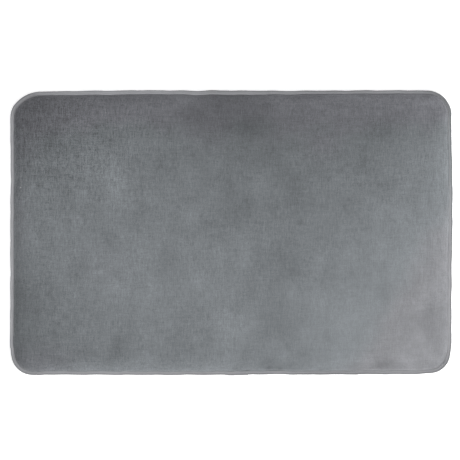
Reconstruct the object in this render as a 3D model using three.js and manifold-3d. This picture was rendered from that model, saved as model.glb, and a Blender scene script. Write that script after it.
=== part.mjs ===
// A soft bath mat, built as the layers it is sewn from: a short-pile velvet cover over
// a memory-foam core, a cloth backing with a non-slip layer under it, one folded tape
// sewn round the whole edge, and a blank care label caught under that tape.
//
// Millimetres, +Z up. The origin is the middle of the underside, and +X runs along the
// longer side. An inset is always a distance in from the mat's outer edge.

import * as THREE from "three";
import { mergeVertices } from "three/addons/utils/BufferGeometryUtils.js";
import Module from "manifold-3d";

const wasm = await Module();
wasm.setup();

// ---- Driving dimensions ----
// Heights where two layers meet face to face are whole eighths of a millimetre, which
// 32-bit numbers hold exactly, so that those faces meet without overlapping.

const MAT_LENGTH = 700;
const MAT_WIDTH = 450;
const MAT_HEIGHT = 15;
const CORNER_RADIUS = 42;
const CLEARANCE = 0.3; // between pieces whose curved or cut faces lie side by side

const GRIP_THICKNESS = 0.75;
const BACKING_THICKNESS = 0.75;
const COVER_THICKNESS = 2.2; // woven ground and pile together, on top of the mat

const RIM_HEIGHT = 5.5; // the sewn edge, over the tape
const TAPE_THICKNESS = 0.75;
const TAPE_REACH = 6; // how far each half of the folded tape comes in over the layers
const TAPE_NOSE_RADIUS = 2.25; // the round fold that forms the mat's outer edge
const DOTS_STOP_SHORT = 0.5; // from the tape's inner edge to the first dots

const PRESSED_COVER = 0.4; // thickness of the cover's wall where it comes out of the tape
const SHOULDER_WIDTH = 34; // from the tape to where the cover is at full height
const FOAM_SHOULDER = 33; // from the foam's squashed edge to its full thickness
const SQUASHED_FOAM = 1; // thickness of the foam's edge inside the tape

const SEAM_INSET = 4.3; // the line of stitching that holds the tape
const THREAD_WIDTH = 0.6;
const THREAD_HEIGHT = 0.375;
const THREAD_LIFT = 0.125; // the lower thread stays this far clear of the floor

const LABEL_WIDTH = 30;
const LABEL_THICKNESS = 0.375; // one ribbon folded double
const LABEL_END_INSET = 38;
const LABEL_BEND = 0.2; // it starts down this far past the tape's inner edge
const LABEL_SLOPE = 2; // length over which it comes down from the tape to the floor side
const LABEL_LIFT = 0.125; // its free end stays this far clear of the floor
const LABEL_ROOM = 0.125; // the pocket above its root is this much deeper than it

const CORNER_SEGMENTS = 6; // an arc is drawn with twice as many straight steps
const SHOULDER_SEGMENTS = 7;
const NOSE_SEGMENTS = 3;
const MERGE_DISTANCE = 1e-4; // corners of a geometry nearer than this are one corner
const PAST = 1; // how far a cutting shape runs past the face that it cuts
const SKIRT = 0.5; // how far a cushion's straight side runs down into what it stands on

// ---- Heights worked out from them ----

const BACKING_BOTTOM = GRIP_THICKNESS;
const BACKING_TOP = BACKING_BOTTOM + BACKING_THICKNESS;
const FOAM_RIM_TOP = BACKING_TOP + SQUASHED_FOAM;
const COVER_RIM_BOTTOM = FOAM_RIM_TOP + CLEARANCE;
const COVER_RIM_TOP = RIM_HEIGHT - TAPE_THICKNESS;
const COVER_INSIDE_TOP = MAT_HEIGHT - COVER_THICKNESS;
const FOAM_TOP = COVER_INSIDE_TOP - CLEARANCE;

const LAYER_INSET = TAPE_NOSE_RADIUS + CLEARANCE; // the layers end just inside the fold
const COVER_INSET = TAPE_REACH + CLEARANCE; // where the cover comes out of the tape
const COVER_INSIDE_INSET = COVER_INSET + PRESSED_COVER;
const FOAM_INSET = COVER_INSIDE_INSET + CLEARANCE;
const GRIP_INSET = TAPE_REACH + DOTS_STOP_SHORT;

// ---- Shapes ----

// The mat's outline moved inwards: a rectangle with four round corners.
function outline(inset) {
  const radius = CORNER_RADIUS - inset;
  const x = MAT_LENGTH / 2 - CORNER_RADIUS;
  const y = MAT_WIDTH / 2 - CORNER_RADIUS;
  const quarter = Math.PI / 2;
  const shape = new THREE.Shape();
  shape.absarc(x, y, radius, 0, quarter, false);
  shape.absarc(-x, y, radius, quarter, 2 * quarter, false);
  shape.absarc(-x, -y, radius, 2 * quarter, 3 * quarter, false);
  shape.absarc(x, -y, radius, 3 * quarter, 4 * quarter, false);
  shape.closePath();
  return shape;
}

// A geometry's shared corners are merged so that it is one closed solid.
function toSolid(geometry) {
  geometry.deleteAttribute("normal");
  geometry.deleteAttribute("uv");
  const merged = mergeVertices(geometry, MERGE_DISTANCE);
  const mesh = new wasm.Mesh({
    numProp: 3,
    vertProperties: merged.attributes.position.array,
    triVerts: merged.index.array,
  });
  return new wasm.Manifold(mesh);
}

function toGeometry(solid) {
  const mesh = solid.getMesh();
  const geometry = new THREE.BufferGeometry();
  geometry.setAttribute("position", new THREE.BufferAttribute(mesh.vertProperties, 3));
  geometry.setIndex(new THREE.BufferAttribute(mesh.triVerts, 1));
  geometry.computeVertexNormals();
  return geometry;
}

// A flat layer with square edges.
function layer(inset, bottom, top) {
  const geometry = new THREE.ExtrudeGeometry(outline(inset), {
    depth: top - bottom,
    bevelEnabled: false,
    curveSegments: CORNER_SEGMENTS,
  });
  return toSolid(geometry.translate(0, 0, bottom));
}

// A flat layer whose upper and lower edges are rounded over.
function roundedLayer(inset, bottom, top, rounding) {
  const geometry = new THREE.ExtrudeGeometry(outline(inset + rounding), {
    depth: top - bottom - 2 * rounding,
    bevelThickness: rounding,
    bevelSize: rounding,
    bevelSegments: NOSE_SEGMENTS,
    curveSegments: CORNER_SEGMENTS,
  });
  return toSolid(geometry.translate(0, 0, bottom + rounding));
}

// The upper half of a cushion: flat on top, with an edge that is a quarter ellipse and a
// short straight side below it.
function cushion(inset, bottom, top, shoulder) {
  const rise = top - bottom;
  const geometry = new THREE.ExtrudeGeometry(outline(inset + shoulder), {
    depth: SKIRT + PAST,
    bevelThickness: rise,
    bevelSize: shoulder,
    bevelSegments: SHOULDER_SEGMENTS,
    curveSegments: CORNER_SEGMENTS,
  });
  const whole = toSolid(geometry.translate(0, 0, bottom - SKIRT - PAST));
  const lowest = bottom - SKIRT - PAST - rise;
  return whole.subtract(layer(0, lowest - PAST, bottom - SKIRT));
}

// A box that runs in from the mat's right-hand end, where the label needs room.
function roomForLabel(toInset, low, high) {
  const geometry = new THREE.BoxGeometry(toInset, LABEL_WIDTH + 2 * CLEARANCE, high - low);
  return toSolid(geometry.translate((MAT_LENGTH - toInset) / 2, 0, (low + high) / 2));
}

// One turn of thread, lying flat all the way round the seam.
function threadRing(bottom) {
  const top = bottom + THREAD_HEIGHT;
  const outer = layer(SEAM_INSET - THREAD_WIDTH / 2, bottom, top);
  const inner = layer(SEAM_INSET + THREAD_WIDTH / 2, bottom - PAST, top + PAST);
  return outer.subtract(inner);
}

// ---- Pieces ----

// The velvet cover: a shell over the foam, with a thin flange held inside the tape.
function pileCover() {
  const flange = layer(LAYER_INSET, COVER_RIM_BOTTOM, COVER_RIM_TOP);
  const outside = cushion(COVER_INSET, COVER_RIM_TOP, MAT_HEIGHT, SHOULDER_WIDTH);
  const inside = cushion(COVER_INSIDE_INSET, COVER_RIM_BOTTOM, COVER_INSIDE_TOP, FOAM_SHOULDER);
  return flange.add(outside).subtract(inside);
}

// The foam slab, full height in the middle and squashed thin where it is sewn in.
function foamCore() {
  const rim = layer(LAYER_INSET, BACKING_TOP, FOAM_RIM_TOP);
  const middle = cushion(FOAM_INSET, FOAM_RIM_TOP, FOAM_TOP, FOAM_SHOULDER);
  return rim.add(middle);
}

// The cloth under the foam, with a shallow pocket where the label passes.
function backingCloth() {
  const cloth = layer(LAYER_INSET, BACKING_BOTTOM, BACKING_TOP);
  const pocketTop = BACKING_BOTTOM + LABEL_THICKNESS + LABEL_ROOM;
  const pocketEnd = TAPE_REACH + LABEL_SLOPE + PAST;
  return cloth.subtract(roomForLabel(pocketEnd, BACKING_BOTTOM - PAST, pocketTop));
}

// The non-slip layer that stands on the floor: the space that its rubber dots fill.
function gripDots() {
  const dots = layer(GRIP_INSET, 0, GRIP_THICKNESS);
  return dots.subtract(roomForLabel(LABEL_END_INSET + PAST, -PAST, GRIP_THICKNESS + PAST));
}

// The tape: folded over the edge of all the layers, with a groove for the lower thread.
function edgeBinding() {
  const outside = roundedLayer(0, 0, RIM_HEIGHT, TAPE_NOSE_RADIUS);
  const pocket = roundedLayer(
    TAPE_THICKNESS, TAPE_THICKNESS, COVER_RIM_TOP, TAPE_NOSE_RADIUS - TAPE_THICKNESS);
  const middle = layer(TAPE_REACH, -PAST, RIM_HEIGHT + PAST);
  const grooveTop = THREAD_LIFT + THREAD_HEIGHT;
  const grooveOuter = layer(SEAM_INSET - THREAD_WIDTH, -PAST, grooveTop);
  const grooveInner = layer(SEAM_INSET + THREAD_WIDTH, -2 * PAST, grooveTop + PAST);
  return outside.subtract(pocket).subtract(middle).subtract(grooveOuter.subtract(grooveInner));
}

// The label: its root lies on the tape inside the seam, and its free end near the floor.
function careLabel() {
  const rootBottom = TAPE_THICKNESS;
  const slopeStart = TAPE_REACH + LABEL_BEND;
  const slopeEnd = slopeStart + LABEL_SLOPE;
  const side = new THREE.Shape();
  side.moveTo(-LAYER_INSET, rootBottom);
  side.lineTo(-slopeStart, rootBottom);
  side.lineTo(-slopeEnd, LABEL_LIFT);
  side.lineTo(-LABEL_END_INSET, LABEL_LIFT);
  side.lineTo(-LABEL_END_INSET, LABEL_LIFT + LABEL_THICKNESS);
  side.lineTo(-slopeEnd, LABEL_LIFT + LABEL_THICKNESS);
  side.lineTo(-slopeStart, rootBottom + LABEL_THICKNESS);
  side.lineTo(-LAYER_INSET, rootBottom + LABEL_THICKNESS);
  side.closePath();
  const geometry = new THREE.ExtrudeGeometry(side, { depth: LABEL_WIDTH, bevelEnabled: false });
  geometry.rotateX(Math.PI / 2);
  return toSolid(geometry.translate(MAT_LENGTH / 2, LABEL_WIDTH / 2, 0));
}

// ---- The assembly ----

function piece(name, solid, colour, roughness) {
  const material = new THREE.MeshStandardMaterial({ color: colour, roughness, metalness: 0 });
  const mesh = new THREE.Mesh(toGeometry(solid), material);
  mesh.name = name;
  return mesh;
}

const bathMat = new THREE.Group();
bathMat.add(
  piece("pile_cover", pileCover(), 0x7b7f82, 0.95),
  piece("foam_core", foamCore(), 0xe9e4d2, 0.9),
  piece("backing_cloth", backingCloth(), 0x6b6e72, 0.9),
  piece("grip_dots", gripDots(), 0xb9bcbe, 0.6),
  piece("edge_binding", edgeBinding(), 0x97979b, 0.7),
  piece("needle_thread", threadRing(RIM_HEIGHT), 0x8f8f93, 0.5),
  piece("bobbin_thread", threadRing(THREAD_LIFT), 0x8f8f93, 0.5),
  piece("care_label", careLabel(), 0xf2f1ee, 0.5),
);

export default bathMat;
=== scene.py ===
"""Looks for the bath mat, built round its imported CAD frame.

Metres, +Z up, +X along the longer side, -Y is the front edge. Every layer of the mat is
made in the place of its CAD solid: velvet cover, foam core, backing cloth, rubber dots,
folded edge tape, the two threads of its seam, and a blank care label.

Two measures are used all the way through. "Inset" is the distance in from the mat's outer
edge. "Along" is the distance round that edge, from the middle of the front side,
anticlockwise as seen from above.
"""

import math

import bpy
import numpy as np
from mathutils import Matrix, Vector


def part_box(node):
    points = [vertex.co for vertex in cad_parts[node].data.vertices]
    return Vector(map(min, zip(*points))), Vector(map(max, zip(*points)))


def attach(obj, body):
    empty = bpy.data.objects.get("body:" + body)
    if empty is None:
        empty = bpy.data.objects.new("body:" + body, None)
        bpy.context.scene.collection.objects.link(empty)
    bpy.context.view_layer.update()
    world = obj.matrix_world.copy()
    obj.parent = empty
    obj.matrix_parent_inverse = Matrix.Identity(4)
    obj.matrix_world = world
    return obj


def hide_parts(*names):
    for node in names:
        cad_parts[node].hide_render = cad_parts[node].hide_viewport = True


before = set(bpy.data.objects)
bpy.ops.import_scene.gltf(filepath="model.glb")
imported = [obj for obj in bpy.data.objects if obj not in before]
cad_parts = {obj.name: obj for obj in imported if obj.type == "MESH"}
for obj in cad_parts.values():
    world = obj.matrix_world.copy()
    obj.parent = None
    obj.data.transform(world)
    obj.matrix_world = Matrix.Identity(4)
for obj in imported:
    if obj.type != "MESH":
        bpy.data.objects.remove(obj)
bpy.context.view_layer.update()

# ---- Sizes, from the frame where it has them ----

_, tape_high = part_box("edge_binding")
cover_low, cover_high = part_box("pile_cover")
foam_low, foam_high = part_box("foam_core")
backing_low, backing_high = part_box("backing_cloth")
_, dots_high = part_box("grip_dots")
needle_low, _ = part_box("needle_thread")
_, bobbin_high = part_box("bobbin_thread")
label_low, label_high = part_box("care_label")

HALF_X = tape_high.x
HALF_Y = tape_high.y
RIM_TOP = tape_high.z
MAT_TOP = cover_high.z
CORNER = 0.042  # nominal radius of the mat's corners

TAPE_THICK = 0.0006
TAPE_REACH = 0.0058  # how far the folded tape comes in over the top and the underside
NOSE = 0.00225  # radius of the round fold at the outer edge
THREAD_RADIUS = 0.00021
SEAM_INSET = 0.0043
STITCH = 0.0032  # length of one stitch
LAP_START = -0.004  # along, where the tape's end begins to lie over its start
LAP_LENGTH = 0.031
LAP_BULGE = 0.0003  # how far the doubled tape there pushes the edge out
FLOOR_GAP = 0.00002  # the tape's underside stays this far above the floor
TINY = 1e-9

STRAIGHT_X = HALF_X - CORNER  # half of a long side's straight stretch
STRAIGHT_Y = HALF_Y - CORNER
ARC = CORNER * math.pi / 2
PERIMETER = 4 * STRAIGHT_X + 4 * STRAIGHT_Y + 4 * ARC
BACK_RIGHT_ALONG = STRAIGHT_X + ARC + 2 * STRAIGHT_Y  # where that corner's arc begins
BACK_LEFT_ALONG = BACK_RIGHT_ALONG + ARC + 2 * STRAIGHT_X
FRONT_LEFT_ALONG = BACK_LEFT_ALONG + ARC + 2 * STRAIGHT_Y

# Sewing has pulled each corner a little off its nominal radius: (along, change of radius).
CORNER_PULL = (
    (STRAIGHT_X, -0.0018),
    (BACK_RIGHT_ALONG, -0.0033),
    (BACK_LEFT_ALONG, 0.0054),
    (FRONT_LEFT_ALONG, -0.0062),
)
# The lists of places round the edge are (x, y, reach, amount), and bumps() sums them.
# Where the sewing drew the edge in or let it out.
EDGE_BENDS = (
    (-HALF_X, 0.095, 0.045, -0.0009),
    (-HALF_X, -0.165, 0.04, 0.0006),
    (HALF_X, 0.035, 0.07, 0.0009),
    (-0.3, HALF_Y, 0.06, -0.0011),
    (-0.13, HALF_Y, 0.04, 0.0006),
    (-0.057, HALF_Y, 0.012, -0.0005),
    (-0.032, HALF_Y, 0.012, 0.0005),
    (0.085, HALF_Y, 0.03, -0.0005),
    (0.255, HALF_Y, 0.07, 0.0006),
    (-0.11, -HALF_Y, 0.11, 0.0005),
    (0.06, -HALF_Y, 0.035, -0.0006),
    (0.25, -HALF_Y, 0.08, -0.0006),
    (0.0, HALF_Y, 0.35, 0.0005),
    (0.0, -HALF_Y, 0.35, -0.0001),
    (HALF_X, -0.14, 0.12, -0.0008),
    (HALF_X, 0.165, 0.04, -0.0012),
    (0.343, 0.207, 0.012, -0.0009),
    (-0.312, HALF_Y, 0.014, -0.0008),
    (-HALF_X, 0.198, 0.018, 0.0009),
    (-HALF_X, -0.194, 0.012, -0.0013),
    (-0.307, -HALF_Y, 0.01, 0.0009),
    (0.314, -HALF_Y, 0.014, -0.0012),
    (HALF_X, -0.189, 0.01, -0.0012),
)
# Smaller unevenness of the sewing: (waves round the whole edge, height, phase).
EDGE_WAVES = ((31, 0.00012, 4.0), (47, 0.00022, 1.2), (89, 0.00007, 2.6))
# Where the tape comes in further or less far.
TAPE_WIDTHS = (
    (-0.01, HALF_Y, 0.07, 0.0018),
    (-0.19, HALF_Y, 0.1, 0.0012),
    (0.24, HALF_Y, 0.15, -0.0003),
    (-0.338, 0.213, 0.035, 0.0014),
)
# Where the tape is painted lighter or darker along the edge: painted shade and light.
TAPE_PAINTED_SHADE = (
    (0.18, -HALF_Y, 0.17, -0.27),
    (0.338, -0.213, 0.045, -0.145),
    (0.338, 0.213, 0.035, -0.42),
    (-0.338, 0.213, 0.035, -0.1),
    (-0.338, -0.213, 0.035, -0.16),
    (0.14, HALF_Y, 0.2, -0.17),
    (-0.3, HALF_Y, 0.03, -0.08),
    (-0.17, HALF_Y, 0.1, 0.14),
    (HALF_X, 0.12, 0.07, -0.11),
)
# Where the tape took on some of the pile's blue.
TAPE_COOL = ((HALF_X, 0.12, 0.1, 1.0),)


# ---- Smooth random fields ----

NOISE_CELLS = 256  # the noise repeats after this many bumps
NOISE_SHIFT_X = 128.37  # so that the mat's middle lies inside a cell, far from the repeat
NOISE_SHIFT_Y = 128.61


def ease(t):
    """From 0 to 1, level at both ends."""
    return t * t * t * (t * (6 * t - 15) + 10)


def value_noise(x, y, size, seed):
    """Smooth noise from about -1 to 1 whose bumps are `size` metres apart."""
    rng = np.random.default_rng(seed)
    lattice = rng.uniform(-1, 1, (NOISE_CELLS + 1, NOISE_CELLS + 1))
    u, v = np.asarray(x) / size + NOISE_SHIFT_X, np.asarray(y) / size + NOISE_SHIFT_Y
    i, j = np.floor(u).astype(int), np.floor(v).astype(int)
    fu, fv = ease(u - i), ease(v - j)
    i, j = i % NOISE_CELLS, j % NOISE_CELLS
    low = lattice[i, j] * (1 - fu) + lattice[i + 1, j] * fu
    high = lattice[i, j + 1] * (1 - fu) + lattice[i + 1, j + 1] * fu
    return low * (1 - fv) + high * fv


def layered_noise(x, y, size, seed, layers):
    """Noise with finer and fainter layers added, each turned from the one before."""
    total = 0
    for layer in range(layers):
        turn = 0.6 + layer
        u = x * math.cos(turn) - y * math.sin(turn)
        v = x * math.sin(turn) + y * math.cos(turn)
        total = total + 0.55 ** layer * value_noise(u, v, size / 2 ** layer, seed + layer)
    return total


def smooth(value, low, high):
    """0 up to `low`, 1 from `high` on, and a soft step between them."""
    t = np.clip((value - low) / (high - low), 0, 1)
    return t * t * (3 - 2 * t)


# ---- The mat's outline ----

def outline(along):
    """Points and outward normals of the nominal outline: a rectangle's, plus a radius that
    stands out from it and turns at its corners."""
    along = np.asarray(along, float) % PERIMETER

    def passed(start, length):
        return np.clip(along - start, 0, length)

    turn = sum(passed(start, ARC) for start, _ in CORNER_PULL) / CORNER
    normals = np.stack([np.sin(turn), -np.cos(turn)], 1)
    back = passed(BACK_RIGHT_ALONG + ARC, 2 * STRAIGHT_X)
    x = passed(0, STRAIGHT_X) - back + passed(FRONT_LEFT_ALONG + ARC, STRAIGHT_X)
    right = passed(STRAIGHT_X + ARC, 2 * STRAIGHT_Y)
    y = right - passed(BACK_LEFT_ALONG + ARC, 2 * STRAIGHT_Y) - STRAIGHT_Y
    return np.stack([x, y], 1) + CORNER * normals, normals


def edge_place(x, y):
    """(along, inset, outward normal) of points of the nominal mat."""
    over_x, over_y = np.abs(x) - STRAIGHT_X, np.abs(y) - STRAIGHT_Y
    corner = (over_x > 0) & (over_y > 0)
    reach = np.where(corner, np.hypot(over_x, over_y), np.maximum(over_x, over_y))
    to_side = over_x >= over_y
    out_x = np.sign(x) * np.where(corner, over_x, to_side)
    out_y = np.sign(y) * np.where(corner, over_y, ~to_side)
    turn = np.arctan2(out_y, out_x) + math.pi / 2
    turn = np.where(turn < 0, turn + 2 * math.pi, turn)
    x, y = np.clip(x, -STRAIGHT_X, STRAIGHT_X), np.clip(y, -STRAIGHT_Y, STRAIGHT_Y)
    side = STRAIGHT_X + STRAIGHT_Y
    straight = np.choose(
        (turn / (math.pi / 2)).astype(int), [x, side + y, 2 * side - x, 3 * side - y])
    normal = np.stack([np.sin(turn), -np.cos(turn)], -1)
    return (straight + CORNER * turn) % PERIMETER, CORNER - reach, normal


def corner_swell(past, change):
    """How far a corner of radius CORNER + change lies outside one of radius CORNER.

    `past` is the distance along the nominal edge from where its arc begins."""
    radius = CORNER + change
    turn = np.clip(past / CORNER, 0, math.pi / 2)
    lean = change * (np.cos(turn) + np.sin(turn))
    arc = np.sqrt(radius ** 2 - 2 * change ** 2 + lean ** 2) - lean
    side = CORNER / np.maximum(np.cos(turn), np.sin(turn))
    before_or_after = np.maximum(np.maximum(-past, past - ARC), 0)
    cut_in = np.maximum(change - before_or_after, 0) ** 2 / (2 * radius)
    return np.where(before_or_after > 0, -cut_in, np.minimum(arc, side) - CORNER)


def apart(along, place):
    """Distance past a place on the edge, from minus half the perimeter to plus half."""
    return (along - place + PERIMETER / 2) % PERIMETER - PERIMETER / 2


def bumps(along, places):
    """Sum of soft bumps, each (x, y, reach, amount) at a place on the edge."""
    total = 0 * along
    for x, y, reach, amount in places:
        middle = edge_place(np.array([x]), np.array([y]))[0]
        total = total + amount * np.exp(-(apart(along, middle) / reach) ** 2)
    return total


def edge_swell(along):
    """How far the real sewn edge lies outside the nominal outline."""
    swell = np.zeros_like(along)
    for start, change in CORNER_PULL:
        swell += corner_swell(along - start, change)
    swell += bumps(along, EDGE_BENDS)
    for waves, height, phase in EDGE_WAVES:
        swell += height * np.sin(2 * math.pi * waves * along / PERIMETER + phase)
    past = apart(along, LAP_START)
    lap = smooth(past, -0.004, 0.002) * (1 - smooth(past, LAP_LENGTH, LAP_LENGTH + 0.008))
    return swell + LAP_BULGE * lap


def tape_reach(along):
    """How far in the tape comes."""
    return TAPE_REACH + bumps(along, TAPE_WIDTHS)


def edge_noise(along, size, seed, lane=0.0):
    """Noise along the edge, which differs from lane to lane."""
    return value_noise(along, 0 * along + lane, size, seed)


def faces_corner(normals, x, y):
    """1 where the edge faces one corner, such as (1, -1), the front right."""
    return smooth(x * normals[..., 0] + y * normals[..., 1], 1.02, 1.4)


def sewn(x, y):
    """Moves points of the nominal mat to where the real sewn edge pulls them."""
    along, inset, normal = edge_place(x, y)
    pull = edge_swell(along) * (1 - smooth(inset, 0.006, CORNER))
    return x + pull * normal[..., 0], y + pull * normal[..., 1]


def at_edge(along, inset):
    """Sewn points at an inset (a number, or one for each point), and their normals."""
    points, normals = outline(along)
    flat = points - np.broadcast_to(np.asarray(inset, float), (len(along),))[:, None] * normals
    x, y = sewn(flat[:, 0], flat[:, 1])
    return x, y, normals


# ---- Mesh helpers ----

def add_object(name, data):
    thing = bpy.data.objects.new(name, data)
    bpy.context.scene.collection.objects.link(thing)
    return thing


def make_piece(name, points, faces, material):
    """A mesh object from vertices and faces of three or four corners."""
    mesh = bpy.data.meshes.new(name)
    mesh.from_pydata(np.asarray(points, float).tolist(), [], faces)
    mesh.validate()
    mesh.polygons.foreach_set("use_smooth", [True] * len(mesh.polygons))
    mesh.materials.append(material)
    mesh.update()
    piece = add_object(name, mesh)
    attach(piece, "root")
    return piece


def set_attribute(piece, name, values):
    """Gives each vertex a number that the materials read by name."""
    attribute = piece.data.attributes.new(name, "FLOAT", "POINT")
    attribute.data.foreach_set("value", np.asarray(values, np.float32).ravel())


def quads(rows, columns, wrap_rows=False, wrap_columns=False, first=0, flip=False):
    """Faces of a grid of vertices that is stored row after row."""
    r = np.arange(rows if wrap_rows else rows - 1)
    c = np.arange(columns if wrap_columns else columns - 1)
    r, c = (a.ravel() for a in np.meshgrid(r, c, indexing="ij"))
    r2, c2 = (r + 1) % rows, (c + 1) % columns
    corners = [r * columns + c, r2 * columns + c, r2 * columns + c2, r * columns + c2]
    if flip:
        corners.reverse()
    return (np.stack(corners, 1) + first).tolist()


def mat_grid(insets, step, multiple=1):
    """A plain grid over the mat whose outer lines follow its round outline.

    `insets` runs from the edge to CORNER. The middle is divided evenly, into about
    `step`, and into a multiple of `multiple`. Returns x and y, both (lines, lines)."""
    def lines(straight):
        count = multiple * max(1, round(2 * straight / step / multiple))
        middle = np.linspace(-straight, straight, count + 1)
        border = straight + CORNER - np.asarray(insets[:-1])
        return np.concatenate([-border, middle, border[::-1]])

    x, y = np.meshgrid(lines(STRAIGHT_X), lines(STRAIGHT_Y), indexing="ij")
    over_x, over_y = np.abs(x) - STRAIGHT_X, np.abs(y) - STRAIGHT_Y
    corner = (over_x > TINY) & (over_y > TINY)
    reach = np.maximum(over_x, over_y)
    least = np.minimum(over_x, over_y)
    lean = math.pi / 4 * least / np.where(corner, reach, 1)
    angle = np.where(over_x >= over_y, lean, math.pi / 2 - lean)
    x = np.where(corner, np.sign(x) * (STRAIGHT_X + reach * np.cos(angle)), x)
    y = np.where(corner, np.sign(y) * (STRAIGHT_Y + reach * np.sin(angle)), y)
    return x, y


def sideways(path):
    """Unit vectors to the right of a flat path."""
    ahead = np.gradient(path, axis=0)
    ahead /= np.linalg.norm(ahead, axis=1)[:, None]
    return np.stack([ahead[:, 1], -ahead[:, 0]], 1)


def rim(rows, columns):
    """Indexes of a grid's outer vertices in order, anticlockwise from the first."""
    grid = np.arange(rows * columns).reshape(rows, columns)
    return np.concatenate([grid[:-1, 0], grid[-1, :-1], grid[:0:-1, -1], grid[0, :0:-1]])


def bridge(fine, coarse, ratio):
    """Faces between a ring of vertices and one with `ratio` times fewer, below it."""
    faces = []
    for k, here in enumerate(coarse):
        there = coarse[(k + 1) % len(coarse)]
        stretch = [fine[(ratio * k + i) % len(fine)] for i in range(ratio + 1)]
        half = ratio // 2
        faces += [[here, stretch[i + 1], stretch[i]] for i in range(half)]
        faces.append([here, there, stretch[half + 1], stretch[half]])
        faces += [[there, stretch[i + 1], stretch[i]] for i in range(half + 1, ratio)]
    return [[int(v) for v in face] for face in faces]


# ---- Materials ----

class Nodes:
    """Builds a material's node tree with short calls."""

    def __init__(self, name):
        self.material = bpy.data.materials.new(name)
        self.material.use_nodes = True
        self.tree = self.material.node_tree
        self.tree.nodes.clear()
        self.output = self.add("ShaderNodeOutputMaterial")
        self.shader = self.add("ShaderNodeBsdfPrincipled")
        self.link(self.shader.outputs[0], self.output.inputs["Surface"])

    def add(self, kind, **settings):
        node = self.tree.nodes.new(kind)
        for key, value in settings.items():
            if key in node.inputs:
                node.inputs[key].default_value = value
            else:
                setattr(node, key, value)
        return node

    def link(self, source, target):
        self.tree.links.new(source, target)

    def value(self, source, target):
        """Links a socket, or sets a number or a colour."""
        if isinstance(source, tuple):
            target.default_value = (*source, 1)[:len(target.default_value)]
        elif isinstance(source, (int, float)):
            target.default_value = source
        else:
            self.link(source, target)

    def math(self, operation, a, b=0.0, c=0.0):
        node = self.add("ShaderNodeMath", operation=operation)
        for source, target in zip((a, b, c), node.inputs):
            self.value(source, target)
        return node.outputs[0]

    def position(self, scale=(1, 1, 1)):
        """Place in the object's own space, stretched."""
        coordinates = self.add("ShaderNodeTexCoord")
        mapping = self.add("ShaderNodeMapping", Scale=scale)
        self.link(coordinates.outputs["Object"], mapping.inputs["Vector"])
        return mapping.outputs[0]

    def noise(self, scale, detail, roughness, stretch=(1, 1, 1)):
        node = self.add("ShaderNodeTexNoise", Scale=scale, Detail=detail, Roughness=roughness)
        self.link(self.position(stretch), node.inputs["Vector"])
        return node.outputs[0]

    def specks(self, scale, size, share):
        """1 on small scattered specks: cells per metre, their radius and how many have one."""
        cells = self.add("ShaderNodeTexVoronoi", Scale=scale)
        self.link(self.position(), cells.inputs["Vector"])
        inside = self.math("LESS_THAN", cells.outputs["Distance"], size)
        chosen = self.math("LESS_THAN", cells.outputs["Color"], share)
        return self.math("MULTIPLY", inside, chosen)

    def attribute(self, name):
        return self.add("ShaderNodeAttribute", attribute_name=name).outputs["Fac"]

    def spread(self, source, low, high):
        """Stretches a 0 to 1 signal, whose middle half is what shows, to low..high."""
        node = self.add("ShaderNodeMapRange")
        ends = {"From Min": 0.3, "From Max": 0.7, "To Min": low, "To Max": high}
        for key, value in ends.items():
            node.inputs[key].default_value = value
        self.link(source, node.inputs["Value"])
        return node.outputs[0]

    def mix(self, factor, a, b):
        """From colour a to colour b. A Mix node's colours are its inputs 6 and 7, output 2."""
        node = self.add("ShaderNodeMix", data_type="RGBA")
        for source, number in ((factor, 0), (a, 6), (b, 7)):
            self.value(source, node.inputs[number])
        return node.outputs[2]

    def scaled(self, colour, factor):
        """A colour made lighter or darker."""
        node = self.add("ShaderNodeVectorMath", operation="SCALE")
        self.value(colour, node.inputs[0])
        self.value(factor, node.inputs["Scale"])
        return node.outputs[0]

    def bump(self, height, distance, strength=1.0, after=None):
        node = self.add("ShaderNodeBump", Distance=distance, Strength=strength)
        self.link(height, node.inputs["Height"])
        if after is not None:
            self.link(after, node.inputs["Normal"])
        return node.outputs[0]

    def finish(self, colour, roughness, normal=None, **constants):
        """Sets the shader, its constant sockets with _ for a space in their names."""
        self.value(colour, self.shader.inputs["Base Color"])
        self.value(roughness, self.shader.inputs["Roughness"])
        if normal is not None:
            self.link(normal, self.shader.inputs["Normal"])
        for key, value in constants.items():
            self.shader.inputs[key.replace("_", " ")].default_value = value
        return self.material


# Linear colours. The pile's three hues have a green of 1, and its shade makes them darker.
PILE_COOL = (0.929, 1.0, 1.055)
PILE_NEUTRAL = (0.985, 1.0, 1.055)
PILE_VIOLET = (0.982, 1.0, 1.088)
PILE_LIGHTNESS = 0.17  # linear, where the nap attribute is 1
LINT = (0.34, 0.34, 0.35)
TAPE_NEUTRAL = (0.382, 0.386, 0.404)
TAPE_BLUISH = (0.365, 0.387, 0.403)
THREAD_GREY = (0.31, 0.31, 0.32)
FOAM_WHITE = (0.8, 0.76, 0.64)
KNIT_GREY = (0.15, 0.155, 0.165)
RUBBER_GREY = (0.5, 0.51, 0.52)
RIBBON_WHITE = (0.85, 0.845, 0.83)
RIBS_PER_METRE = 950.0  # of the tape's weave


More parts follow.
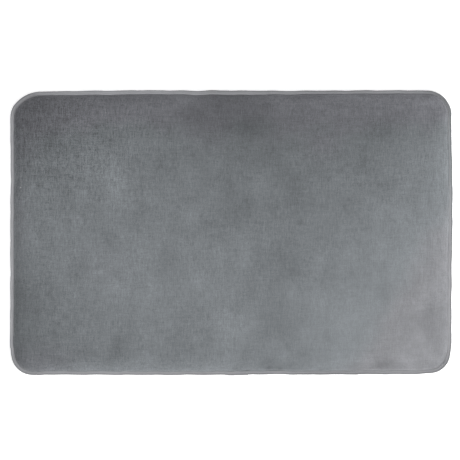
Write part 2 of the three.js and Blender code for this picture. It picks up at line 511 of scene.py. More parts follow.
def pile_material():
    """Short velvet: cool grey, its shade set by the nap attribute: partly the
    way the nap lies, partly painted shade and light.

    Its grain is made of fine streaks along and across, the single tufts, and the broader
    lines of the weave that the pile stands on."""
    n = Nodes("velvet_pile")
    streaks = n.noise(620, 2, 0.6, (1, 0.14, 1))
    crossing = n.noise(600, 2, 0.6, (0.16, 1, 1))
    tufts = n.noise(950, 3, 0.65)
    warp = n.noise(230, 1, 0.5, (1, 0.13, 1))
    weft = n.noise(230, 1, 0.5, (0.13, 1, 1))
    grain = n.math("ADD", n.spread(streaks, -0.135, 0.135), n.spread(crossing, -0.08, 0.08))
    grain = n.math("ADD", grain, n.spread(tufts, -0.22, 0.22))
    grain = n.math("ADD", grain, n.spread(warp, -0.036, 0.036))
    grain = n.math("ADD", grain, n.spread(weft, -0.03, 0.03))
    shade = n.math("MULTIPLY_ADD", grain, n.attribute("ruffle"), 1.0)
    # the nap attribute holds painted shade and light besides the nap's own tone
    shade = n.math("MULTIPLY", shade, n.math("MULTIPLY", n.attribute("nap"), PILE_LIGHTNESS))
    grey = n.mix(n.attribute("neutral"), PILE_COOL, PILE_NEUTRAL)
    colour = n.scaled(n.mix(n.attribute("violet"), grey, PILE_VIOLET), shade)
    fibres = n.noise(1900, 2, 0.6, (1, 0.6, 1))
    normal = n.bump(fibres, 0.0004, 0.5)
    normal = n.bump(tufts, 0.0009, 0.6, normal)
    return n.finish(
        n.mix(n.specks(16, 0.02, 0.45), colour, LINT), 0.95, normal,
        Sheen_Weight=0.35, Sheen_Roughness=0.45, Specular_IOR_Level=0.15)


def tape_material():
    """Woven polyester tape, ribbed across its width."""
    n = Nodes("edge_tape")
    turns = n.math("MULTIPLY", n.attribute("along"), 2 * math.pi * RIBS_PER_METRE)
    ribs = n.math("SINE", turns)
    uneven = n.noise(90, 3, 0.6)
    soil = n.noise(14, 2, 0.5)
    shade = n.math("MULTIPLY", n.spread(uneven, 0.95, 1.05), n.spread(soil, 0.95, 1.05))
    shade = n.math("MULTIPLY", shade, n.math("MULTIPLY_ADD", ribs, 0.03, 0.97))
    # the shade attribute is the tape's painted shade and light, from tape_shade
    shade = n.math("MULTIPLY", shade, n.attribute("shade"))
    hue = n.mix(n.attribute("cool"), TAPE_NEUTRAL, TAPE_BLUISH)
    return n.finish(
        n.scaled(hue, shade), 0.7, n.bump(ribs, 0.0001, 0.6),
        Sheen_Weight=0.03, Sheen_Roughness=0.4, Specular_IOR_Level=0.05)


def thread_material():
    """Twisted polyester sewing thread."""
    n = Nodes("seam_thread")
    twist = n.noise(2600, 2, 0.5)
    return n.finish(
        n.scaled(THREAD_GREY, n.spread(twist, 0.85, 1.12)), 0.5,
        n.bump(twist, 0.0001, 0.6), Sheen_Weight=0.1, Specular_IOR_Level=0.4)


def foam_material():
    """Off-white memory foam with fine open pores."""
    n = Nodes("memory_foam")
    pores = n.add("ShaderNodeTexVoronoi", Scale=900.0)
    n.link(n.position(), pores.inputs["Vector"])
    age = n.noise(9, 3, 0.6)
    shade = n.math(
        "MULTIPLY", n.spread(age, 0.9, 1.03), n.math("MULTIPLY_ADD", pores.outputs[0], 0.35, 0.82))
    return n.finish(
        n.scaled(FOAM_WHITE, shade), 0.9, n.bump(pores.outputs[0], 0.0005, 0.8),
        Specular_IOR_Level=0.2)


def backing_material():
    """A fine grey knit: rows of small loops."""
    n = Nodes("backing_knit")
    wales = n.add("ShaderNodeTexWave", Scale=240.0, Distortion=0.8, Detail=1.0)
    courses = n.add("ShaderNodeTexWave", Scale=200.0, Distortion=0.8, Detail=1.0)
    courses.bands_direction = "Y"
    for wave in (wales, courses):
        n.link(n.position(), wave.inputs["Vector"])
    loops = n.math("MULTIPLY", wales.outputs["Fac"], courses.outputs["Fac"])
    uneven = n.noise(35, 3, 0.6)
    depth = n.math("MULTIPLY_ADD", loops, 0.35, 0.78)
    shade = n.math("MULTIPLY", n.spread(uneven, 0.92, 1.06), depth)
    return n.finish(
        n.scaled(KNIT_GREY, shade), 0.88, n.bump(loops, 0.0003, 0.7),
        Sheen_Weight=0.15, Sheen_Roughness=0.5, Specular_IOR_Level=0.2)


def grip_material():
    """Soft pale grey rubber, slightly dusty."""
    n = Nodes("grip_rubber")
    dust = n.noise(60, 3, 0.6)
    fine = n.noise(1500, 2, 0.5)
    return n.finish(
        n.scaled(RUBBER_GREY, n.spread(dust, 0.9, 1.05)), n.spread(dust, 0.42, 0.62),
        n.bump(fine, 0.00005, 0.5), Specular_IOR_Level=0.45)


def label_material():
    """White satin ribbon, woven."""
    n = Nodes("label_ribbon")
    weave = n.add("ShaderNodeTexWave", Scale=700.0, Distortion=0.4)
    weave.bands_direction = "Y"
    n.link(n.position(), weave.inputs["Vector"])
    uneven = n.noise(120, 2, 0.5)
    return n.finish(
        n.scaled(RIBBON_WHITE, n.spread(uneven, 0.95, 1.02)), 0.42,
        n.bump(weave.outputs["Fac"], 0.00006, 0.6), Specular_IOR_Level=0.4)


# ---- The velvet cover ----

COVER_INSETS = [0.0042, 0.0053, 0.006, 0.0066, 0.0073, 0.0082, 0.0093, 0.0106, 0.0121, 0.0138,
                0.0157, 0.0178, 0.0201, 0.0225, 0.025, 0.0276, 0.0303, 0.0331, 0.036, 0.039,
                0.0405, CORNER]
COVER_STEP = 0.0025
INNER_RATIO = 3  # the hidden inner face has this many times fewer lines
SETTLE_RATIO = 2  # and the simulated cloth this many
PILE_UNDER = 0.0003  # how far under the tape's inner edge the pile starts to rise
SHOULDER = 0.033  # from there to where the cover is at full height
COVER_THICK = 0.0022
RIM_HELD = 0.0055  # the cover is held in the seam as far in as this
SEAM_SINK = 0.0003  # how far the tightest stitches pull the rim down
SEAM_DRAW = 0.0004  # and outwards
SPARE_CLOTH = 0.04  # how much longer the cloth on the shoulder is than the way across it
SETTLE_FRAMES = 9
FARTHEST_MOVE = 0.0018
RIM_DEPTH = 0.0011  # how far below the tape's top the cover's rim lies
RELIEF_ROOM = 0.0006  # left over the shoulder's shape for the pile's relief
DENT_DEPTH = 0.0004

# The lists of places on the pile are (x, y, half width, half depth, amount), and spots() sums
# them. Where hands and feet left the nap lying differently: painted lighter or darker, partly
# the nap's own tone and partly painted sheen and shade.
NAP_MARKS = (
    (-0.3, 0.178, 0.045, 0.045, -0.17),
    (-0.33, 0.015, 0.025, 0.07, 0.09),
    (-0.285, 0.02, 0.016, 0.014, 0.12),
    (-0.242, 0.01, 0.014, 0.023, 0.12),
    (-0.275, -0.055, 0.013, 0.023, 0.14),
    (-0.145, 0.145, 0.035, 0.025, 0.12),
    (-0.12, 0.205, 0.05, 0.02, 0.1),
    (-0.185, 0.085, 0.028, 0.045, 0.26),
    (-0.24, 0.11, 0.03, 0.04, 0.07),
    (-0.06, 0.187, 0.035, 0.028, -0.2),
    (0.03, 0.173, 0.05, 0.035, -0.24),
    (-0.005, 0.06, 0.02, 0.05, -0.08),
    (0.015, 0.03, 0.022, 0.02, -0.15),
    (0.155, 0.205, 0.075, 0.02, 0.17),
    (0.24, 0.165, 0.055, 0.028, -0.1),
    (0.27, 0.114, 0.037, 0.02, 0.09),
    (0.275, 0.015, 0.04, 0.04, 0.1),
    (0.08, -0.05, 0.03, 0.06, -0.12),
    (0.115, 0.065, 0.018, 0.034, -0.14),
    (0.183, 0.077, 0.015, 0.03, 0.1),
    (0.175, 0.019, 0.022, 0.022, -0.08),
    (0.05, 0.07, 0.02, 0.022, 0.15),
    (-0.055, 0.005, 0.026, 0.016, -0.13),
    (-0.06, 0.043, 0.018, 0.035, 0.07),
    (-0.045, -0.064, 0.028, 0.045, 0.07),
    (-0.165, -0.075, 0.06, 0.03, 0.11),
    (-0.245, -0.06, 0.012, 0.03, -0.08),
    (-0.33, -0.11, 0.03, 0.03, -0.09),
    (-0.18, -0.185, 0.02, 0.02, -0.1),
    (-0.135, -0.195, 0.016, 0.013, 0.14),
    (-0.005, -0.15, 0.025, 0.045, 0.14),
    (0.065, -0.148, 0.018, 0.022, -0.1),
    (0.143, -0.114, 0.035, 0.04, 0.13),
    (0.195, -0.14, 0.035, 0.045, 0.12),
    (0.31, -0.13, 0.02, 0.015, -0.07),
    (0.32, 0.11, 0.015, 0.025, 0.06),
    (0.338, -0.17, 0.03, 0.05, -0.2),
    (0.333, -0.208, 0.02, 0.02, -0.04),
    (0.316, -0.207, 0.018, 0.01, 0.06),
    (0.18, -0.2185, 0.13, 0.004, -0.12),
    (-0.33, 0.205, 0.02, 0.02, 0.12),
    (0.062, -0.212, 0.045, 0.012, -0.18),
    (0.25, -0.213, 0.1, 0.01, -0.24),
    (-0.2, -0.214, 0.12, 0.008, 0.08),
    (-0.29, -0.217, 0.03, 0.006, 0.1),
    (0.34, -0.1, 0.01, 0.09, -0.13),
    (0.2, 0.212, 0.14, 0.01, 0.25),
    (0.072, 0.212, 0.042, 0.012, 0.18),
    (0.182, 0.2155, 0.03, 0.006, 0.12),
    (-0.22, 0.212, 0.05, 0.01, 0.09),
    (0.32, 0.207, 0.02, 0.01, 0.12),
    (-0.062, 0.21, 0.03, 0.013, 0.34),
    (-0.318, 0.213, 0.012, 0.006, 0.12),
    (-0.328, -0.2, 0.018, 0.018, 0.06),
)
# Finger-tip dents near the front edge.
DENTS = (
    (0.0594, -0.2155, 0.004, 0.003, DENT_DEPTH),
    (0.0775, -0.2165, 0.005, 0.0025, 0.7 * DENT_DEPTH),
    (0.142, -0.2175, 0.004, 0.0025, 0.7 * DENT_DEPTH),
    (0.087, -0.179, 0.006, 0.005, 0.5 * DENT_DEPTH),
    (0.112, -0.193, 0.006, 0.005, 0.5 * DENT_DEPTH),
    (0.0265, -0.2185, 0.0035, 0.0015, DENT_DEPTH),
)
# Where the grey has turned towards violet.
VIOLET_SPOTS = (
    (-0.33, 0.15, 0.03, 0.04, 0.7),
    (-0.03, 0.155, 0.035, 0.02, 0.55),
    (0.06, 0.15, 0.03, 0.015, 0.4),
    (0.145, 0.145, 0.03, 0.025, 0.8),
    (-0.34, 0.03, 0.018, 0.07, 0.4),
    (-0.31, -0.205, 0.06, 0.025, 0.6),
    (-0.2, -0.05, 0.04, 0.03, 0.15),
)


def spots(x, y, places):
    """Sum of soft spots, each (x, y, half width, half depth, amount)."""
    total = 0 * x
    for spot_x, spot_y, width, depth, amount in places:
        away = ((x - spot_x) / width) ** 2 + ((y - spot_y) / depth) ** 2
        total = total + amount * np.exp(-away)
    return total


def cover_height(x, y):
    """Height of the pile's surface, before its fine relief."""
    along, inset, _ = edge_place(x, y)
    rim_height = RIM_TOP - RIM_DEPTH
    wander = 0.10 * value_noise(x, y, 0.045, 11) + 0.06 * value_noise(x, y, 0.017, 12)
    width = SHOULDER * (1 + wander)
    t = np.clip((inset - tape_reach(along) + PILE_UNDER) / width, 0, 1)
    rise = (1 - (1 - t) ** 2.15) ** (1 / 1.95)  # nearly a quarter of an ellipse
    return rim_height + (MAT_TOP - RELIEF_ROOM - rim_height) * rise


def pile_relief(x, y):
    """Soft dents and brushed ridges in the pile."""
    _, inset, _ = edge_place(x, y)
    broad = 0.00028 * layered_noise(x, y, 0.075, 21, 2)
    brushed = 0.00013 * layered_noise(x * 1.25, y * 0.8, 0.014, 31, 3)
    return (broad + brushed) * smooth(inset, 0.005, 0.02) - spots(x, y, DENTS)


def nap(x, y):
    """How light the pile looks, about 1 on average: partly its nap's own patches and partly
    painted shade and light.

    It is painted lightest at the front right and darker to the back left, a painted gradient
    of light and sheen. On the shoulder each side is painted lighter or darker by the way it
    faces, beside the tape the pile is painted lighter over the shade of the crease there, and
    the dents are painted darker."""
    u, v = x / HALF_X, y / HALF_Y
    # painted light and shade: a broad gradient standing in for the lighting and the velvet's sheen
    broad = (
        1.03 - 0.16 * u - 0.177 * v - 0.135 * u * v + 0.11 * u ** 2 - 0.178 * v ** 2
        + 0.335 * u ** 3 + 0.15 * u * v ** 2)
    _, inset, normal = edge_place(x, y)
    on_shoulder = 1 - smooth(inset, 0.006, 0.024)
    front_right, back_left = faces_corner(normal, 1, -1), faces_corner(normal, -1, 1)
    # painted shade and light on the shoulder, by the side it faces
    edge_painted_shade_and_light = on_shoulder * (
        0.05 * normal[..., 0] - 0.02 * normal[..., 1] + 0.08 * (back_left - front_right))
    # painted light beside the tape, over the shade in the crease there
    beside_tape = 1 - smooth(inset, 0.0065, 0.0095)
    edge_painted_shade_and_light = edge_painted_shade_and_light + beside_tape * (
        0.2 - 0.15 * normal[..., 0] + 0.1 * normal[..., 1] - 0.15 * front_right)
    patches = 0.042 * layered_noise(x, y, 0.045, 41, 2)
    strokes = 0.055 * layered_noise(x * 1.4, y * 0.8, 0.024, 51, 2)
    ragged_x = x + 0.007 * layered_noise(x, y, 0.03, 43, 2)
    ragged_y = y + 0.0035 * layered_noise(x, y, 0.03, 45, 2)
    # spots painted lighter or darker: partly the nap's own tone, partly painted sheen and shade
    marks = spots(ragged_x, ragged_y, NAP_MARKS)
    # painted shade in the dents
    dent_painted_shade = 0.25 * spots(x, y, DENTS) / DENT_DEPTH
    return broad * (1 + patches + strokes + edge_painted_shade_and_light + marks - dent_painted_shade)


def ruffle(x, y):
    """How strongly the pile's grain shows: it stands rough towards the back left."""
    corner = np.exp(-((x + 0.27) / 0.15) ** 2 - ((y - 0.15) / 0.1) ** 2)
    left = 1 - smooth(x, -0.32, -0.1)
    front_right = smooth(x - y, 0.1, 0.35)
    back_right = smooth(x + y, 0.15, 0.35)
    return 1 + 0.9 * corner + 0.2 * left + 0.2 * back_right - 0.38 * front_right


def faded_back(x, y):
    """1 where washing turned the grey towards violet: along the back and down the left side."""
    wander = 0.012 * layered_noise(x, y, 0.04, 47, 2)
    return np.clip(smooth(y + wander, 0.15, 0.187) + spots(x, y, VIOLET_SPOTS), 0, 1)


def faded_front(x, y):
    """1 where washing took the cool tinge out of the grey: at the front right."""
    wander = 0.01 * layered_noise(x, y, 0.04, 48, 2)
    return smooth(x - 0.58 * y + wander, 0.288, 0.352)


def seam_pull(along):
    """How hard the stitches pull the cover's rim, from 0 to 1: some are tighter than others."""
    uneven = 0.6 * edge_noise(along, 0.013, 91) + 0.4 * edge_noise(along, 0.03, 92)
    return np.clip(0.5 + uneven, 0, 1)


def refine(grid):
    """Twice as many rows: between each two, one on a smooth curve through four."""
    before, after = 2 * grid[:1] - grid[1:2], 2 * grid[-1:] - grid[-2:-1]
    longer = np.concatenate([before, grid, after])
    between = (9 * (grid[:-1] + grid[1:]) - longer[:-3] - longer[3:]) / 16
    finer = np.zeros((2 * len(grid) - 1, *grid.shape[1:]))
    finer[::2], finer[1::2] = grid, between
    return finer


def settle(x, y, points):
    """How far the sewn cover moves as it settles, from a cloth simulation.

    The rim is held under the tape, where the stitches pull it down unevenly, and the middle
    is glued to the foam. Between them lies the shoulder: there the cloth has a little to
    spare, and the swelling foam pushes it out into soft puckers."""
    moves = np.zeros_like(points)
    rows, columns, _ = points.shape
    along, inset, normal = edge_place(x, y)
    pull = seam_pull(along) * (1 - smooth(inset, RIM_HELD, RIM_HELD + 0.004))
    start = points.copy()
    start[..., 2] -= SEAM_SINK * pull
    start[..., :2] -= (SEAM_DRAW * pull)[..., None] * normal
    mesh = bpy.data.meshes.new("settling")
    mesh.from_pydata(start.reshape(-1, 3).tolist(), [], quads(rows, columns))
    cloth = add_object("settling", mesh)
    hold = np.maximum(smooth(inset, 0.03, 0.055), inset < RIM_HELD)
    fullness = 1 - smooth(inset, 0.012, 0.034)
    for name, weights in (("held", hold), ("spare", fullness)):
        group = cloth.vertex_groups.new(name=name)
        for vertex, weight in enumerate(weights.ravel()):
            group.add([vertex], float(weight), "REPLACE")
    modifier = cloth.modifiers.new("cloth", "CLOTH")
    settings = modifier.settings
    settings.quality = 6
    settings.mass = 0.05
    settings.tension_stiffness = settings.compression_stiffness = 15
    settings.shear_stiffness = 6
    settings.bending_stiffness = 0.5
    settings.tension_damping = settings.compression_damping = settings.shear_damping = 8
    settings.air_damping = 2
    settings.vertex_group_mass = "held"
    settings.vertex_group_shrink = "spare"
    settings.shrink_min = 0
    settings.shrink_max = -SPARE_CLOTH
    settings.use_pressure = True
    settings.uniform_pressure_force = 2
    settings.effector_weights.gravity = 0
    modifier.collision_settings.use_collision = False
    modifier.collision_settings.use_self_collision = False
    modifier.point_cache.frame_end = SETTLE_FRAMES
    for frame_number in range(1, SETTLE_FRAMES + 1):
        bpy.context.scene.frame_set(frame_number)
    settled = cloth.evaluated_get(bpy.context.evaluated_depsgraph_get()).data
    place = np.zeros(rows * columns * 3)
    settled.vertices.foreach_get("co", place)
    moves = place.reshape(rows, columns, 3) - points
    bpy.context.scene.frame_set(1)
    bpy.data.objects.remove(cloth)
    bpy.data.meshes.remove(mesh)
    far = np.linalg.norm(moves, axis=-1, keepdims=True)
    return moves * np.minimum(1, FARTHEST_MOVE / np.maximum(far, TINY))


def build_cover(material):
    """The velvet's settled and brushed face, closed by a plainer one on its hidden side."""
    x, y = mat_grid(COVER_INSETS, COVER_STEP, INNER_RATIO * SETTLE_RATIO)
    px, py = sewn(x, y)
    top = np.stack([px, py, cover_height(x, y)], -1)
    some = (slice(None, None, SETTLE_RATIO),) * 2
    moves = settle(x[some], y[some], top[some])
    top += refine(refine(moves).swapaxes(0, 1)).swapaxes(0, 1)
    inner = top[::INNER_RATIO, ::INNER_RATIO].copy()
    inner[..., 2] = np.maximum(inner[..., 2] - COVER_THICK, cover_low.z)
    top[..., 2] += pile_relief(x, y)
    faces = quads(*x.shape)
    faces += quads(*inner.shape[:2], first=x.size, flip=True)
    faces += bridge(rim(*x.shape), rim(*inner.shape[:2]) + x.size, INNER_RATIO)
    points = np.concatenate([top.reshape(-1, 3), inner.reshape(-1, 3)])
    cover = make_piece("velvet_cover", points, faces, material)
    unseen = np.ones(inner.size // 3)
    shades = {"nap": nap, "neutral": faded_front, "violet": faded_back, "ruffle": ruffle}
    for name, shade in shades.items():
        set_attribute(cover, name, np.concatenate([shade(x, y).ravel(), unseen]))
    return cover


# ---- The edge tape ----

TAPE_STEP = STITCH / 4
LAP_LIFT = TAPE_THICK + 0.0001  # how far one layer of tape raises the next
STITCH_DENT = 0.00016  # how deep each stitch presses the tape
DENT_WIDTH = 0.0007  # and how far to each side of the seam
RIPPLE = 0.00012  # unevenness of the tape's face
SELVEDGE_INSET = 0.0055  # the tape's own two edges begin here, and wave a little more
SELVEDGE_WAVE = 0.00022  # in and out
SELVEDGE_LIFT = 0.0001  # up and down


def tape_section():
    """The tape's outer face as (inset, height), from its upper edge round to its lower."""
    middle = RIM_TOP / 2
    turns = np.linspace(math.pi / 2, -math.pi / 2, 9)
    straight = middle - NOSE
    fold_in = NOSE - NOSE * np.cos(turns)
    fold_z = middle + straight * np.sign(np.round(np.sin(turns), 6)) + NOSE * np.sin(turns)
    above = [
        (TAPE_REACH, RIM_TOP - 0.0002),
        (0.0053, RIM_TOP - 0.0001),
        (0.0047, RIM_TOP - 0.00015),
        (SEAM_INSET, RIM_TOP - 0.0003),
        (0.0039, RIM_TOP - 0.00012),
        (0.0032, RIM_TOP),
    ]
    below = [(inset, RIM_TOP - z) for inset, z in reversed(above)]
    return np.array(above + list(zip(fold_in, fold_z)) + below)


def tape_lift(along):
    """How far the upper face of the lap stands above the rest of the tape."""
    past = apart(along, LAP_START)
    return LAP_LIFT * smooth(past, -0.006, 0.0) * (past < LAP_LENGTH)


def tape_shade(along, normals, inset):
    """How light the tape is, as painted shade and light with a random unevenness. Its fold is
    painted darker, most at the right and the front, and along the back the part outside the
    seam is painted darker too. Each side is painted by the way it faces and at the listed
    places of TAPE_PAINTED_SHADE."""
    on_fold = 1 - smooth(inset, 0.0013, 0.0034)
    # painted shade on the fold, set by the side it faces
    fold_painted_shade = 0.32 + 0.21 * normals[:, 0] - 0.15 * normals[:, 1]
    fold_painted_shade += 0.26 * faces_corner(normals, -1, 1) - 0.3 * faces_corner(normals, 1, 1)
    # painted shade on the outer part along the back
    back_painted_shade_mask = (1 - smooth(inset, 0.0038, 0.0048)) * np.clip(normals[:, 1], 0, 1)
    # painted shade and light by the side the tape faces and at the listed places
    side = 1.0 + 0.04 * normals[:, 1] - 0.02 * normals[:, 0] + bumps(along, TAPE_PAINTED_SHADE)
    uneven = 0.05 * edge_noise(along, 0.05, 65)
    return (side + uneven) * (1 - fold_painted_shade * on_fold) * (1 - 0.17 * back_painted_shade_mask)


def build_tape(material):
    """One strip folded over the edge all the way round, its end laid over its start."""
    section = tape_section()
    count = round((PERIMETER + LAP_LENGTH) / TAPE_STEP)
    travel = np.linspace(0, PERIMETER + LAP_LENGTH, count + 1)
    along = LAP_START + travel
    _, normals = outline(along)
    wider = (tape_reach(along) - SEAM_INSET) / (TAPE_REACH - SEAM_INSET)
    # above and round the fold the end lies over the start; below, the start is pressed up
    over = smooth(travel, PERIMETER - 0.007, PERIMETER - 0.001) * LAP_LIFT
    under = (1 - smooth(travel, LAP_LENGTH + 0.001, LAP_LENGTH + 0.007)) * LAP_LIFT
    outward = sideways(section)
    hidden = slice(None, None, -2)  # the inner face needs only every other point
    loop = np.concatenate([section, (section - TAPE_THICK * outward)[hidden]])
    loop_out = np.concatenate([outward, outward[hidden]])
    columns = len(loop)
    points = np.zeros((len(along), columns, 3))
    shade = np.zeros((len(along), columns))
    dent = 0.5 + 0.5 * np.cos(2 * math.pi * travel / STITCH)
    for k, ((inset, z), (out_inset, out_z)) in enumerate(zip(loop, loop_out)):
        near_seam = math.exp(-((inset - SEAM_INSET) / DENT_WIDTH) ** 2)
        sign = 1 if z > RIM_TOP / 2 else -1
        upper = float(smooth(z, 0.0008, 0.0024))
        shift = over * upper - under * (1 - upper)
        ripple = RIPPLE * edge_noise(along, 0.004, 61, k * 0.0004)
        stretched = inset + max(inset - SEAM_INSET, 0) * (wider - 1)
        here_inset = stretched + out_inset * shift + ripple
        here_z = z + out_z * shift - sign * STITCH_DENT * near_seam * dent
        if inset > SELVEDGE_INSET:
            here_inset = here_inset + SELVEDGE_WAVE * edge_noise(along, 0.006, 62)
            here_z = here_z + sign * SELVEDGE_LIFT * edge_noise(along, 0.005, 63)
        x, y, _ = at_edge(along, here_inset)
        points[:, k] = np.stack([x, y, np.maximum(here_z, FLOOR_GAP)], 1)
        shade[:, k] = tape_shade(along, normals, here_inset)
    faces = quads(len(along), columns, wrap_columns=True)
    last = (len(along) - 1) * columns
    faces += [list(range(columns)), list(range(last + columns - 1, last - 1, -1))]
    tape = make_piece("edge_tape", points.reshape(-1, 3), faces, material)
    set_attribute(tape, "along", np.repeat(along, columns))
    set_attribute(tape, "shade", shade)
    set_attribute(tape, "cool", np.repeat(bumps(along, TAPE_COOL), columns))
    return tape


# ---- The threads of the seam ----

STITCH_STEPS = 8
THREAD_SIDES = 6
THREAD_FLATNESS = 0.8  # its height over its width
STITCH_ARCH = 0.0003  # how high a stitch rises over its two ends
STITCH_DIP = 0.00022  # and how deep those lie in the tape
STITCH_SLANT = 0.00016
BOBBIN_SINK = 0.0002  # the lower thread is drawn this far down out of its groove


def build_thread(name, height, down, material):
    """One thread of the seam: a row of short raised stitches that dip into the tape."""
    stitches = round(PERIMETER / STITCH)
    t = np.arange(stitches * STITCH_STEPS) / STITCH_STEPS
    along = t * PERIMETER / stitches
    local = 2 * (t % 1) - 1
    arch = 1 - np.abs(local) ** 4
    lift = 0 * along if down else tape_lift(along)
    z_middle = (arch * STITCH_ARCH - STITCH_DIP + lift) * (-1 if down else 1) + height
    x, y, normals = at_edge(along, SEAM_INSET + STITCH_SLANT * local)
    angles = np.linspace(0, 2 * math.pi, THREAD_SIDES, endpoint=False)
    points = np.zeros((len(along), THREAD_SIDES, 3))
    for k, angle in enumerate(angles):
        side = THREAD_RADIUS * math.cos(angle)
        points[:, k, 0] = x + side * normals[:, 0]
        points[:, k, 1] = y + side * normals[:, 1]
        points[:, k, 2] = z_middle + THREAD_FLATNESS * THREAD_RADIUS * math.sin(angle)
    faces = quads(len(along), THREAD_SIDES, wrap_rows=True, wrap_columns=True)
    return make_piece(name, points.reshape(-1, 3), faces, material)


# ---- The layers beneath ----

LAYER_INSETS = [0.0028, 0.0045, 0.0065, 0.009, 0.012, 0.016, 0.021, 0.027, 0.034, CORNER]
LAYER_STEP = 0.008
FOAM_GAP = 0.0003  # between the foam and the cover
FOAM_RIM = 0.0075  # as far in as this the foam is squashed
SQUASHED_FOAM = 0.001
BACKING_LEAST = 0.0003  # the backing's thickness where something presses it up
LABEL_DENT = 0.0003  # how far the label presses it up
LAP_DENT = 0.0006  # and the tape's lap


def closed_layer(name, x, y, z_top, z_bottom, material):
    """A closed body between two heights over the same grid."""
    px, py = sewn(x, y)
    top = np.stack([px, py, z_top], -1).reshape(-1, 3)
    bottom = np.stack([px, py, z_bottom], -1).reshape(-1, 3)
    faces = quads(*x.shape) + quads(*x.shape, first=len(top), flip=True)
    edge = rim(*x.shape)
    faces += bridge(edge, edge + len(top), 1)
    return make_piece(name, np.concatenate([top, bottom]), faces, material)


def build_foam(material):
    """The slab under the cover, squashed thin where it is sewn in."""
    x, y = mat_grid(LAYER_INSETS, LAYER_STEP)
    squashed = foam_low.z + SQUASHED_FOAM
    _, inset, _ = edge_place(x, y)
    top = np.minimum(cover_height(x, y) - COVER_THICK - FOAM_GAP, foam_high.z)
    top = np.where(inset < FOAM_RIM, squashed, np.maximum(top, squashed))
    top = top + 0.00008 * layered_noise(x, y, 0.02, 71, 2)
    return closed_layer("memory_foam", x, y, top, np.full_like(x, foam_low.z), material)


def build_backing(material):
    """The cloth under the foam, pressed up where the label and the lap lie under it."""
    x, y = mat_grid(LAYER_INSETS, LAYER_STEP)
    wave = 0.00006 * layered_noise(x, y, 0.03, 81, 2)
    near_label = (np.abs(y) < label_high.y + 0.002) & (x > HALF_X - 0.012)
    from_lap = np.abs(x - LAP_START - LAP_LENGTH / 2) - LAP_LENGTH / 2
    near_lap = (from_lap < 0.008) & (y < 0.009 - HALF_Y)
    underside = backing_low.z + wave.clip(0) + LABEL_DENT * near_label + LAP_DENT * near_lap
    top = np.maximum(backing_high.z, underside + BACKING_LEAST)
    return closed_layer("backing_knit", x, y, top, underside, material)


DOT_PITCH = 0.0095
DOT_RADIUS = 0.0017
DOT_SIDES = 8
DOTS_START = 0.009  # no dot's middle lies nearer to the mat's edge
DOT_RINGS = ((1.0, dots_high.z + 0.0001), (0.86, 0.00035), (0.5, 0.00006))  # (share, height)
DOT_TIP = 0.00001  # height of its lowest point
LABEL_ROOM = 0.002  # clear of dots round the label


def dot_centres():
    """The middles of the dots, in staggered rows, leaving the label and the edge free."""
    row_pitch = DOT_PITCH * math.sqrt(3) / 2
    rows = int(2 * dots_high.y / row_pitch)
    columns = int(2 * dots_high.x / DOT_PITCH)
    row, column = (number.ravel() for number in np.indices((rows, columns)))
    x = (column - (columns - 1) / 2 + 0.5 * (row % 2) - 0.25) * DOT_PITCH
    y = (row - (rows - 1) / 2) * row_pitch
    _, inset, _ = edge_place(x, y)
    clear_of_label = (x < label_low.x - LABEL_ROOM) | (np.abs(y) > label_high.y + LABEL_ROOM)
    kept = (inset > DOTS_START) & clear_of_label
    return sewn(x[kept], y[kept])


def build_dots(material):
    """Rubber dots pressed into the backing cloth, each a low dome with a closed base."""
    x, y = dot_centres()
    angles = np.linspace(0, 2 * math.pi, DOT_SIDES, endpoint=False)
    size = DOT_RADIUS * np.random.default_rng(5).uniform(0.93, 1.05, len(x))
    level = np.zeros_like(x)
    points = []
    for share, z in DOT_RINGS:
        for angle in angles:
            out_x, out_y = size * share * math.cos(angle), size * share * math.sin(angle)
            points.append(np.stack([x + out_x, y + out_y, level + z], 1))
    points.append(np.stack([x, y, level + DOT_TIP], 1))
    per_dot = len(points)
    one = quads(len(DOT_RINGS), DOT_SIDES, wrap_columns=True)
    last = (len(DOT_RINGS) - 1) * DOT_SIDES
    one += [[last + (k + 1) % DOT_SIDES, last + k, per_dot - 1] for k in range(DOT_SIDES)]
    one.append(list(range(DOT_SIDES)))
    faces = [[dot * per_dot + v for v in face] for dot in range(len(x)) for face in one]
    return make_piece("rubber_dots", np.stack(points, 1).reshape(-1, 3), faces, material)


LABEL_THICK = 0.00014
LABEL_LOW = 0.00008  # height of its lower layer, where it lies flat
LABEL_ROOT_INSET = 0.003


def build_label(material):
    """A ribbon folded double, its two ends caught under the tape."""
    root, end = HALF_X - LABEL_ROOT_INSET, label_low.x
    flat = np.linspace(root - 0.013, end + 0.002, 6)
    path = np.array([
        (root, 0.00098),
        (root - 0.0035, 0.00092),
        (root - 0.006, 0.0005),
        (root - 0.009, LABEL_LOW + 0.00022),
        *((x, LABEL_LOW + 0.0002) for x in flat),
        (end + 0.0006, LABEL_LOW + 0.00017),
        (end + 0.0002, LABEL_LOW + 0.0001),
        (end + 0.0006, LABEL_LOW + 0.00001),
        *((x, LABEL_LOW) for x in flat[::-1]),
        (root - 0.009, LABEL_LOW),
        (root - 0.006, 0.0003),
        (root - 0.0035, 0.0007),
        (root, 0.0008),
    ])
    side = sideways(path) * LABEL_THICK / 2
    loop = np.concatenate([path - side, (path + side)[::-1]])
    across = np.linspace(label_low.y, label_high.y, 9)
    points = np.zeros((len(across), len(loop), 3))
    points[..., 0] = loop[:, 0]
    points[..., 1] = across[:, None]
    points[..., 2] = loop[:, 1] + LABEL_THICK
    faces = quads(len(across), len(loop), wrap_columns=True)
    last = points.size // 3 - 1
    faces += [list(range(len(loop))), list(range(last, last - len(loop), -1))]
    return make_piece("ribbon_label", points.reshape(-1, 3), faces, material)


# ---- The stage: floor, lights and camera ----

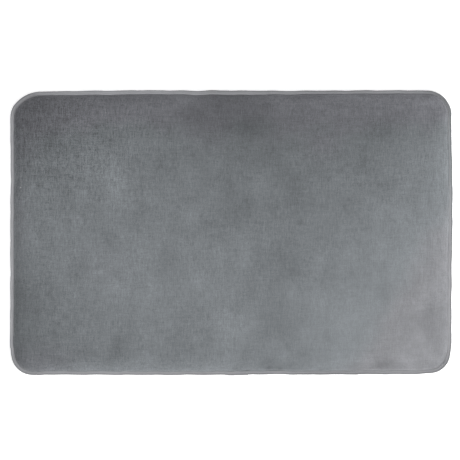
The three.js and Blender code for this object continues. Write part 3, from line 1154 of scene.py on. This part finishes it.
FLOOR_HALF = 6.0
FLOOR_GLOW = 0.57  # lifts the pale floor to the white of the sky
FLOOR_DROP = 0.0002  # it lies this far below the mat
HORIZON = 1.02  # brightness of the sky low down
SKY = 0.55  # and straight up
KEY_PLACE = (1.35, -1.3, 1.5)
KEY_SIZE = 1.0
KEY_POWER = 50
CAMERA_PLACE = (-0.0018, 0.0044, 8.0)
SEEN_WIDTH = 0.7292  # of the floor, from side to side of the picture
SENSOR = 36.0  # the camera's own width, in millimetres


def build_stage():
    n = Nodes("studio_floor")
    n.finish((0.8, 0.8, 0.8), 0.9, Specular_IOR_Level=0.0)
    n.shader.inputs["Emission Color"].default_value = (1, 1, 1, 1)
    n.shader.inputs["Emission Strength"].default_value = FLOOR_GLOW
    corners = [(-1, -1), (1, -1), (1, 1), (-1, 1)]
    mesh = bpy.data.meshes.new("floor")
    mesh.from_pydata([(x * FLOOR_HALF, y * FLOOR_HALF, 0) for x, y in corners], [], [(0, 1, 2, 3)])
    mesh.materials.append(n.material)
    floor = add_object("floor", mesh)
    floor.location.z = -FLOOR_DROP


def build_sky():
    """White all round and darker overhead, so that the mat's rounded edge shows."""
    world = bpy.data.worlds.new("studio")
    bpy.context.scene.world = world
    world.use_nodes = True
    tree = world.node_tree
    background = tree.nodes["Background"]
    background.inputs["Color"].default_value = (1, 1, 1, 1)
    direction = tree.nodes.new("ShaderNodeTexCoord")
    split = tree.nodes.new("ShaderNodeSeparateXYZ")
    height = tree.nodes.new("ShaderNodeMapRange")
    height.interpolation_type = "SMOOTHSTEP"
    ends = {"From Min": 0.1, "From Max": 0.6, "To Min": HORIZON, "To Max": SKY}
    for key, value in ends.items():
        height.inputs[key].default_value = value
    tree.links.new(direction.outputs["Generated"], split.inputs[0])
    tree.links.new(split.outputs["Z"], height.inputs["Value"])
    tree.links.new(height.outputs[0], background.inputs["Strength"])
    bpy.context.scene.view_settings.view_transform = "Standard"


def build_key_light():
    light = bpy.data.lights.new("key", "AREA")
    light.shape = "DISK"
    light.size = KEY_SIZE
    light.energy = KEY_POWER
    lamp = add_object("key", light)
    lamp.location = KEY_PLACE
    lamp.rotation_euler = (-lamp.location).to_track_quat("-Z", "Y").to_euler()


def build_camera():
    camera = bpy.data.cameras.new("camera")
    camera.lens = SENSOR * CAMERA_PLACE[2] / SEEN_WIDTH
    camera.clip_end = 60
    holder = add_object("camera", camera)
    holder.location = CAMERA_PLACE
    bpy.context.scene.camera = holder


# ---- Assembly ----

def stand_in(piece, node):
    """Hides the CAD node that the piece stands in for, and returns the piece."""
    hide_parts(node)
    return piece


build_camera()
build_stage()
build_sky()
build_key_light()

cover = stand_in(build_cover(pile_material()), "pile_cover")
foam = stand_in(build_foam(foam_material()), "foam_core")
backing = stand_in(build_backing(backing_material()), "backing_cloth")
dots = stand_in(build_dots(grip_material()), "grip_dots")
tape = stand_in(build_tape(tape_material()), "edge_binding")
thread = thread_material()
needle = build_thread("needle_stitches", needle_low.z, False, thread)
bobbin = build_thread("bobbin_stitches", bobbin_high.z - BOBBIN_SINK, True, thread)
stand_in(needle, "needle_thread")
stand_in(bobbin, "bobbin_thread")
label = stand_in(build_label(label_material()), "care_label")
